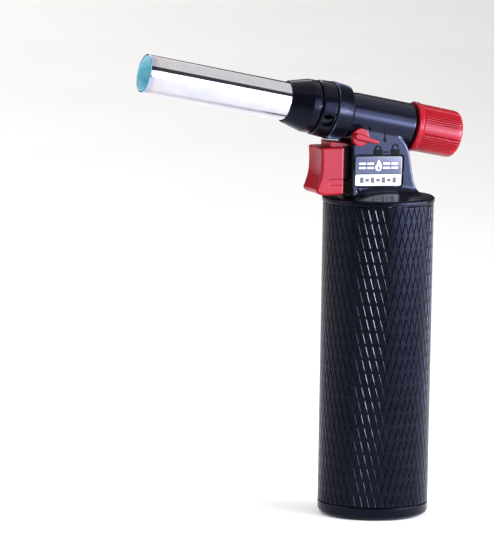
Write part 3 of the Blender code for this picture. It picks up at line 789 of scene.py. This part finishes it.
def trigger_field(x, y, z):
    """Pad with rounded edges and a finger hollow, and the block and push finger behind it."""
    hollow = 0.35 * np.maximum(1.0 - (y / 6.0) ** 2, 0.0) * np.clip((-24.0 - x) / 2.0, 0.0, 1.0)
    pad_form = meet(outline_distance(x - hollow, z, PAD), np.abs(y) - 7.0, 0.8)
    pad_form = cut(pad_form, meet(outline_distance(x, z, LEDGE), 6.6 - np.abs(y), 0.1), 0.2)
    stem_form = meet(outline_distance(x, z, STEM), np.abs(y) - 4.7, 0.3)
    nose = meet(np.hypot(np.maximum(x - 0.4, 0.0), z - 129.8) - 1.2, np.abs(y) - 1.6, 0.25)
    nose = np.maximum(nose, -8.0 - x)
    return join(join(pad_form, stem_form, 0.25), nose, 0.2)


trigger = net("trigger", trigger_field, (-29.0, -7.6, 122.3), (2.6, 7.6, 143.9), 0.24)
trigger.materials.append(RED)
trigger.materials.append(MATTE_BLACK_AND_PAINTED_SHADE)
# Faces behind the pad's rear face, below the top tongue, get the matte black as painted shade. The stem is
# red like the pad.
for face in trigger.polygons:
    if face.center.x > -16.97 * MM and face.center.z < 141.4 * MM:
        face.material_index = 1
place_piece("trigger_moulded", trigger, (), "trigger", ("trigger",), sharp=50.0)


def lever_field(x, y, z):
    """Round boss with a raised pointer, its pivot and the catch behind it."""
    dx, dz = x - LEVER_X, z - LEVER_Z
    px, pz = turned(dx, dz, POINTER_TURN)
    boss = meet(np.hypot(dx, dz) - 3.4, np.abs(y + 8.8) - 1.0, 0.35)
    width = np.where(px > 0.0, 1.1 - 0.06 * px, 1.1)
    pointer = np.hypot(np.maximum(np.abs(px - 2.3) - 4.1, 0.0), pz) - width
    pointer = meet(pointer, np.abs(y + 10.0) - 1.35, 0.4)
    pivot = np.maximum(np.hypot(dx, dz) - 1.4, np.abs(y + 7.25) - 1.25)
    catch = np.maximum(np.hypot(dx - 0.7, dz + 0.5) - 0.6, np.abs(y + 5.75) - 0.8)
    return np.minimum(np.minimum(join(boss, pointer, 0.3), pivot), catch)


place_piece(
    "lock_lever_moulded", net("lever", lever_field, (-15.6, -11.9, 140.9), (-3.4, -4.5, 149.2), 0.14), RED,
    "lock_lever", ("lock_lever",), sharp=50.0,
)


# ---------------------------------------------------------------- screws

for index, (x, z) in enumerate(SCREWS, 1):
    where = Matrix.Translation((x * MM, 0.0, z * MM)) @ Matrix.Rotation(math.radians(-90.0), 4, "X")
    screw = lathe("screw", soften([
        (0.0, -4.6), (0.8, -4.6, 0.2), (1.0, -4.2, 0.1), (1.0, 5.9, 0.1), (2.2, 5.9, 0.15), (2.2, 6.6, 0.3),
        (1.5, 7.2, 0.5), (0.0, 7.2),
    ]), 48)
    stand_up = Matrix.Rotation(math.radians(90.0), 4, "X")
    slots = []
    for a, b in ((1.3, 0.24), (0.24, 1.3)):
        slots.append((prism("tool", [(-a, -b), (a, -b), (a, b), (-a, b)], 6.3, 8.0), stand_up))
    screw = carve(screw, slots)
    stands_for = (f"housing_screw_{index}",)
    place_piece(f"cross_head_screw_{index}", screw, STEEL, HANDLE, stands_for, where)


# ---------------------------------------------------------------- knob

PANELS = 5
PANEL_PITCH = TAU / PANELS
PANEL_HALF = math.radians(12.5)
FIRST_PANEL = math.radians(-86.4)
RIBS = 8


def knob_turns():
    """Angles around the knob, and the share of the full groove depth that is cut at each."""
    made = []
    rib_pitch = (PANEL_PITCH - 2.0 * PANEL_HALF) / RIBS
    for panel_index in range(PANELS):
        centre = FIRST_PANEL + PANEL_PITCH * panel_index
        for k in range(7):
            made.append((centre - PANEL_HALF + 2.0 * PANEL_HALF * k / 6, 0.0))
        start = centre + PANEL_HALF
        for rib in range(RIBS):
            left = start + rib_pitch * rib
            made += [(left + 0.16 * rib_pitch, 1.0), (left + 0.36 * rib_pitch, 1.0)]
            if rib < RIBS - 1:
                for part, depth in ((0.54, 0.12), (0.77, 0.0), (0.98, 0.12)):
                    made.append((left + part * rib_pitch, depth))
    return sorted((angle % TAU, depth) for angle, depth in made)


KNOB_STEPS = knob_turns()
KNOB_DEPTH = dict(KNOB_STEPS)


def knob_wave(angle, radius, height):
    """Grooves between the ribs, which fade out at both ends of the grip."""
    if radius < 8.2 or height > -14.7:
        return 0.0
    fade = min(1.0, max(0.0, (-14.7 - height) / 0.5)) * min(1.0, max(0.0, (height + 31.1) / 0.5))
    return -0.55 * KNOB_DEPTH[angle] * fade


knob_profile = soften([
    (7.4, -12.4), (9.25, -12.4, 0.3), (9.45, -12.7, 0.2), (9.45, -14.2, 0.3), (9.1, -14.6, 0.15),
], 4)
knob_profile += [(9.12, -14.8), (9.11, -15.2), (9.1, -16.0), (9.02, -22.0), (8.95, -28.0), (8.93, -29.2)]
knob_profile += [(8.86, -29.8), (8.7, -30.3), (8.4, -30.75), (8.0, -31.05), (7.4, -31.2)]
knob_profile += soften([(3.9, -31.2, 0.3), (3.6, -30.9, 0.2), (3.6, -30.2)], 3)[:-1]
knob_profile += [(3.6, -30.2), (1.9, -30.2), (1.9, -17.0), (3.5, -17.0), (3.5, -28.2), (7.2, -28.2)]
knob = lathe("knob", knob_profile, [angle for angle, _ in KNOB_STEPS], knob_wave)
place_piece("gas_knob_ribbed", knob, RED, "gas_knob", ("gas_knob",), HEAD, 28.0)
plug_profile = soften([(0.0, -30.98), (2.9, -30.98, 0.3), (3.3, -30.7, 0.2), (3.3, -30.45), (0.0, -30.45)])
knob_cap = lathe("plug", plug_profile, 64)
place_piece("knob_plug_cap", knob_cap, RED, "gas_knob", ("knob_plug",), HEAD)


# ---------------------------------------------------------------- burner

# Two air holes, opposite each other, with a frame on each one's axis
HOLE_AT, HOLE_R = 24.7, 2.4
hole_frames = []
for turn in (math.radians(-112.0), math.radians(68.0)):
    outward = Matrix.Rotation(turn, 4, "Z") @ Matrix.Rotation(math.radians(90.0), 4, "Y")
    hole_frames.append(Matrix.Translation((0.0, 0.0, HOLE_AT * MM)) @ outward)

collar_profile = soften([
    (9.5, 22.1), (10.5, 22.1, 0.15), (10.75, 22.35, 0.2), (10.5, 27.2, 0.4), (10.15, 27.9, 0.3), (7.6, 27.9),
    (7.6, 27.0), (9.5, 27.0),
])
flare = [(0.0, 8.0), (HOLE_R, 8.0), (HOLE_R, 10.1), (HOLE_R + 0.5, 10.9), (HOLE_R + 0.5, 14.0), (0.0, 14.0)]
collar = lathe("collar", collar_profile, 160)
collar = carve(collar, [(lathe("tool", flare, 64), where) for where in hole_frames])
place_piece("air_collar_turned", collar, BAND, HANDLE, ("air_collar",), HEAD)

RING_RIBS = 80
RING_DEPTH = {}
for rib in range(RING_RIBS):
    for part, depth in ((0.1, 0.0), (0.3, 0.0), (0.48, 0.0), (0.64, 1.0), (0.94, 1.0)):
        RING_DEPTH[TAU * (rib + part) / RING_RIBS] = depth


def ring_wave(angle, radius, height):
    """Fine axial ribs on the gripping band of the air ring."""
    if radius < 9.9 or height > 21.35 or height < 15.15:
        return 0.0
    return -0.45 * RING_DEPTH[angle] * min(1.0, (height - 15.1) / 0.4) * min(1.0, (21.4 - height) / 0.3)


ring_profile = [(7.6, 15.0), (9.75, 15.0), (10.15, 15.2), (10.4, 15.6), (10.6, 17.4), (10.8, 19.4)]
ring_profile += [(10.97, 21.0), (11.0, 21.25), (10.95, 21.55), (10.7, 21.8), (9.15, 21.8), (9.15, 26.7)]
ring_profile += [(8.2, 26.7), (8.2, 21.8), (7.6, 21.8)]
# At rest the sleeve's air holes stand this far round from the collar's
RING_SHIFT = Matrix.Rotation(math.radians(-14.0), 4, "X")
ring = lathe("ring", ring_profile, list(RING_DEPTH), ring_wave)
ring = carve(ring, [(plug(HOLE_R - 0.2, 3.0, 14.0), where @ RING_SHIFT) for where in hole_frames])
place_piece("air_ring_ribbed", ring, GLOSS_BLACK, "air_ring", ("air_ring",), HEAD, 25.0)

cone_profile = soften([
    (7.5, 28.2), (9.7, 28.2, 0.2), (10.1, 28.6, 0.3), (10.1, 31.4, 0.5), (9.9, 32.1, 0.5), (9.0, 35.6, 3.0),
    (8.3, 38.2, 2.0), (8.0, 39.3, 0.2), (7.75, 39.6, 0.15), (7.5, 39.6),
])
cone = lathe("cone", cone_profile, 160)
place_piece("nozzle_cone_turned", cone, BAND, HANDLE, ("nozzle_cone",), HEAD)

tube_profile = [(TUBE_BORE_R, TUBE_START), (TUBE_R, TUBE_START)]
tube_profile += [(TUBE_R, TUBE_START + 3.0 * k) for k in range(1, 22)]
tube_profile += soften([
    (TUBE_R, 95.0), (TUBE_R, TUBE_END, 0.3), (TUBE_BORE_R, TUBE_END, 0.3), (TUBE_BORE_R, 95.0),
])
tube_profile += [(TUBE_BORE_R, along) for along in (92.0, 88.0, 80.0, 60.0)]
tube = lathe("tube", tube_profile, 160)
tube.materials.append(CHROME)
tube.materials.append(BORE)
for face in tube.polygons:
    middle = face.center
    if math.hypot(middle.x, middle.y) < (TUBE_BORE_R + 0.02) * MM and middle.z < (TUBE_END - 0.5) * MM:
        face.material_index = 1
place_piece("burner_tube_polished", tube, (), HANDLE, ("burner_tube",), HEAD)


# ---------------------------------------------------------------- valve springs


def coil(name, radius, wire, low, high, turns, centre_x):
    """A compression spring about Z as a round wire with closed, flattened end turns."""
    steps, sides = 28 * (turns + 2), 10
    bm = bmesh.new()
    rings = []
    for k in range(steps + 1):
        turn = (turns + 2) * k / steps
        climb = min(max((turn - 0.75) / (turns + 0.5), 0.0), 1.0)
        height = low + (high - low) * climb
        angle = TAU * turn
        ring = []
        for side in range(sides):
            around_wire = TAU * side / sides
            r = radius + wire * math.cos(around_wire)
            z = height + wire * math.sin(around_wire)
            spot = Vector((centre_x + r * math.cos(angle), r * math.sin(angle), z))
            ring.append(bm.verts.new(spot * MM))
        rings.append(ring)
    for a, b in zip(rings, rings[1:]):
        for side in range(sides):
            ahead = (side + 1) % sides
            bm.faces.new((a[side], a[ahead], b[ahead], b[side]))
    bm.faces.new(rings[0])
    bm.faces.new(rings[-1])
    return from_bmesh(name, bm)


# Each spring stays still at its upper seat and keeps its free length less its stem's travel
WIRE_R = 0.22
main_coil = coil("spring", 1.8, WIRE_R, 112.55, 118.05, 4, 0.0)
main_spring = place_piece("main_valve_coil", main_coil, STEEL, HANDLE, ("main_valve_spring",))
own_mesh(main_spring)
fill_coil = coil("spring", 1.65, WIRE_R, 6.15, 11.45, 4, FILL_X)
fill_spring = place_piece("fill_valve_coil", fill_coil, STEEL, HANDLE, ("fill_valve_spring",))
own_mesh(fill_spring)


# ---------------------------------------------------------------- carried-over frame parts

looks = {
    "black_anodised": ANODISED, "black_plastic": SATIN_BLACK, "red_plastic": RED, "chrome_tube": CHROME,
    "brass": BRASS, "steel": STEEL, "tank_alloy": ALLOY, "ceramic": CERAMIC, "rubber": RUBBER,
    "pale_plastic": PALE, "dark_plastic": DARK, "label": LABEL_EDGE,
}
slot_of = {part["node"]: part["material_slot"] for part in frame["record"]["subparts"]}
for node, made in frame["nodes"].items():
    look = BURNT_BRASS if node == "flame_holder" else looks[slot_of[node]]
    if not made.material_slots:
        made.data.materials.append(look)
    for spot in made.material_slots:
        spot.material = look


# ---------------------------------------------------------------- floor, light and camera

stage_look, tree, shader = graph("studio_paper")
paper = noise(tree, tree.nodes.new("ShaderNodeTexCoord").outputs["Object"], 4.0, 2.0)
whites = ramp(tree, paper, [(0.3, (0.9, 0.9, 0.9)), (0.7, (0.93, 0.93, 0.93))])
tree.links.new(whites, shader.inputs["Base Color"])
shader.inputs["Roughness"].default_value = 0.9
shader.inputs["Specular IOR Level"].default_value = 0.1
floor_mesh = bpy.data.meshes.new("studio_floor")
floor_mesh.from_pydata([(-9, -9, 0), (9, -9, 0), (9, 9, 0), (-9, 9, 0)], [], [(0, 1, 2, 3)])
floor_mesh.materials.append(stage_look)
floor = bpy.data.objects.new("studio_floor", floor_mesh)
bpy.context.scene.collection.objects.link(floor)

world = bpy.data.worlds.new("studio_world")
bpy.context.scene.world = world
world.use_nodes = True
backdrop = world.node_tree.nodes["Background"]
backdrop.inputs["Color"].default_value = (0.93, 0.94, 1.0, 1.0)
backdrop.inputs["Strength"].default_value = 0.1

CAMERA_AZIMUTH = -21.0
MIDDLE = (-0.01, 0.0, 0.1)
BLUISH, WARMER = (0.78, 0.83, 1.0), (1.0, 0.985, 0.96)


def lamp(name, spot, aim, size, power, colour=(1.0, 1.0, 1.0), spread=180.0):
    """A soft rectangular light turned toward a point."""
    data = bpy.data.lights.new(name, "AREA")
    data.shape = "RECTANGLE"
    data.size, data.size_y = size
    data.energy = power
    data.color = colour
    data.spread = math.radians(spread)
    made = bpy.data.objects.new(name, data)
    bpy.context.scene.collection.objects.link(made)
    made.location = spot
    made.rotation_euler = (Vector(aim) - Vector(spot)).to_track_quat("-Z", "Y").to_euler()
    made.visible_camera = False
    return made


def around(turn, height, distance):
    """A point seen from the torch, turned to the right of the camera and raised, in degrees."""
    turn, height = math.radians(turn + CAMERA_AZIMUTH), math.radians(height)
    flat = Vector((math.sin(turn), -math.cos(turn), 0.0)) * math.cos(height)
    return Vector(MIDDLE) + (flat + Vector((0.0, 0.0, math.sin(height)))) * distance


side_spot, side_height = around(73.0, 0.0, 0.6), 0.25
side_spot.z = side_height
lamp("softbox_right", side_spot, (MIDDLE[0], MIDDLE[1], side_height), (1.12, 0.47), 9.4, BLUISH)
lamp("strip_right", around(70.0, 5.5, 0.57), MIDDLE, (0.52, 0.13), 1.4, (0.93, 0.95, 1.0), 70.0)
lamp("softbox_left", around(-78.0, 18.0, 0.8), MIDDLE, (0.5, 0.55), 5.0, (0.9, 0.93, 1.0))
lamp("roof", (-0.1, 0.4, 0.95), (-0.1, 0.4, 0.0), (1.6, 2.0), 10.4, WARMER)
lamp("softbox_back", (-0.3, 2.6, 2.0), (-0.6, 3.0, 0.0), (3.0, 2.4), 72.0, WARMER)

# Camera fitted to the photo: it looks at a target from along toward, with a long lens and a small roll
azimuth, elevation, roll = math.radians(CAMERA_AZIMUTH), math.radians(7.7), math.radians(0.95)
distance = 1.985
toward = Vector((
    math.sin(azimuth) * math.cos(elevation), -math.cos(azimuth) * math.cos(elevation), math.sin(elevation),
))
right = Vector((math.cos(azimuth), math.sin(azimuth), 0.0))
upward = toward.cross(right)
right_rolled = right * math.cos(roll) + upward * math.sin(roll)
up_rolled = upward * math.cos(roll) - right * math.sin(roll)
target = Vector((-41.675, 28.85, 88.744)) * MM
lens = bpy.data.cameras.new("camera")
lens.sensor_width = 36.0
FOCAL_LENGTH_IN_HEIGHTS = 104.0 / 11.0
lens.lens = lens.sensor_width * FOCAL_LENGTH_IN_HEIGHTS
lens.clip_start, lens.clip_end = 0.05, 60.0
camera = bpy.data.objects.new("camera", lens)
bpy.context.scene.collection.objects.link(camera)
place = Matrix((right_rolled, up_rolled, toward)).transposed().to_4x4()
place.translation = target + toward * distance
camera.matrix_world = place
bpy.context.scene.camera = camera
# The default view transform turns the blacks grey and the reds pink
bpy.context.scene.view_settings.view_transform = "Standard"
bpy.context.scene.view_settings.gamma = 0.93
